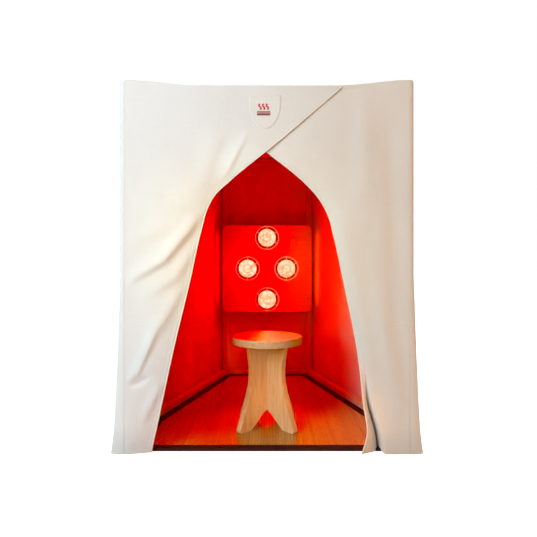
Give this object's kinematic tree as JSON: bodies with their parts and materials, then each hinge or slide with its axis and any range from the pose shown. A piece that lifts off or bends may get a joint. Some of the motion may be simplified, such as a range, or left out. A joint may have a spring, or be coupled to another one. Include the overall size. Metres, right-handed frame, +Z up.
{
  "type": "portable lamp sauna cabin",
  "caption": "Free-standing canvas cabin on a timber frame, with a draped doorway, a heat-lamp panel at the back, a stool and a slatted floor mat.",
  "frame": {"origin": "on the floor under the middle of the cabin's box", "axes": "+X to the right of someone facing the doorway, +Y from the doorway to the back, +Z up"},
  "size_m": [1.31, 1.462, 1.578],
  "materials": {
    "frame_wood": "oiled basswood, fine straight grain",
    "dowel_wood": "plain beech",
    "bar_wood": "smooth turned wood",
    "canvas": "natural heavy cotton canvas, matt",
    "patch_cloth": "sewn canvas badge, matt",
    "mat_backing": "felted backing cloth",
    "bamboo": "satin bamboo slats",
    "mat_border": "dark woven border tape",
    "stool_leg_wood": "oiled light wood",
    "stool_seat_wood": "oiled light wood, planked",
    "lamp_board": "satin wood panel",
    "lamp_metal": "satin powder coat",
    "steel": "brushed",
    "ceramic": "glazed porcelain",
    "guard_wire": "polished wire",
    "switch_plastic": "smooth moulded",
    "paddle_plastic": "smooth moulded",
    "black_plastic": "fine texture",
    "rubber": "matt",
    "lead_sheath": "matt sheath",
    "bulb_glass": "frosted red-amber reflector lamp glass, lit"
  },
  "bodies": {
    "enclosure": {"left_front_post": "frame_wood", "right_front_post": "frame_wood", "left_side_post": "frame_wood", "right_side_post": "frame_wood", "left_rear_post": "frame_wood", "right_rear_post": "frame_wood", "front_top_rail": "frame_wood", "rear_top_rail": "frame_wood", "left_side_top_rail": "frame_wood", "right_side_top_rail": "frame_wood", "left_slant_top_rail": "frame_wood", "right_slant_top_rail": "frame_wood", "rear_base_rail": "frame_wood", "left_side_base_rail": "frame_wood", "right_side_base_rail": "frame_wood", "left_slant_base_rail": "frame_wood", "right_slant_base_rail": "frame_wood", "rail_dowels": "dowel_wood", "lamp_hanging_bar": "bar_wood", "lamp_stop_bar": "bar_wood", "left_side_canvas": "canvas", "right_side_canvas": "canvas", "left_slant_canvas": "canvas", "right_slant_canvas": "canvas", "rear_canvas": "canvas", "roof_canvas": "canvas", "left_flap_header": "canvas", "right_flap_header": "canvas", "sewn_patch": "patch_cloth", "mat_backing": "mat_backing", "bamboo_mat": "bamboo", "mat_binding": "mat_border"},
    "left_flap": {"left_flap": "canvas"},
    "right_flap": {"right_flap": "canvas"},
    "stool": {"stool_leg_board_a": "stool_leg_wood", "stool_leg_board_b": "stool_leg_wood", "stool_seat": "stool_seat_wood"},
    "lamp_panel": {"lamp_face_board": "lamp_board", "lamp_housing": "lamp_metal", "board_screws": "steel", "hanging_hooks": "steel", "rubber_bumpers": "rubber", "bulb_guards": "guard_wire", "bulb_sockets": "ceramic", "upper_bulb": "bulb_glass", "lower_bulb": "bulb_glass", "left_bulb": "bulb_glass", "right_bulb": "bulb_glass", "switch_plate": "switch_plastic", "switch_body": "black_plastic", "power_inlet": "black_plastic", "wiring_loom": "lead_sheath"},
    "switch_paddle": {"switch_paddle": "paddle_plastic"}
  },
  "joints": [
    {"name": "left_flap_swing", "type": "hinge", "parent": "enclosure", "child": "left_flap", "pos_m": [-0.6045, -0.72855, 0], "axis": [0, 0, -1], "range_deg": [0, 60]},
    {"name": "right_flap_swing", "type": "hinge", "parent": "enclosure", "child": "right_flap", "pos_m": [0.6045, -0.72855, 0], "axis": [0, 0, 1], "range_deg": [0, 60]},
    {"name": "stool_slide", "type": "slide", "parent": "enclosure", "child": "stool", "axis": [0, -1, 0], "range_m": [0, 1.1]},
    {"name": "lamp_tilt", "type": "hinge", "parent": "enclosure", "child": "lamp_panel", "pos_m": [0, 0.707, 1.01], "axis": [-1, 0, 0], "range_deg": [0, 12]},
    {"name": "switch_rock", "type": "hinge", "parent": "lamp_panel", "child": "switch_paddle", "pos_m": [0.171, 0.528, 0.934], "axis": [1, 0, 0], "range_deg": [0, 9]}
  ]
}
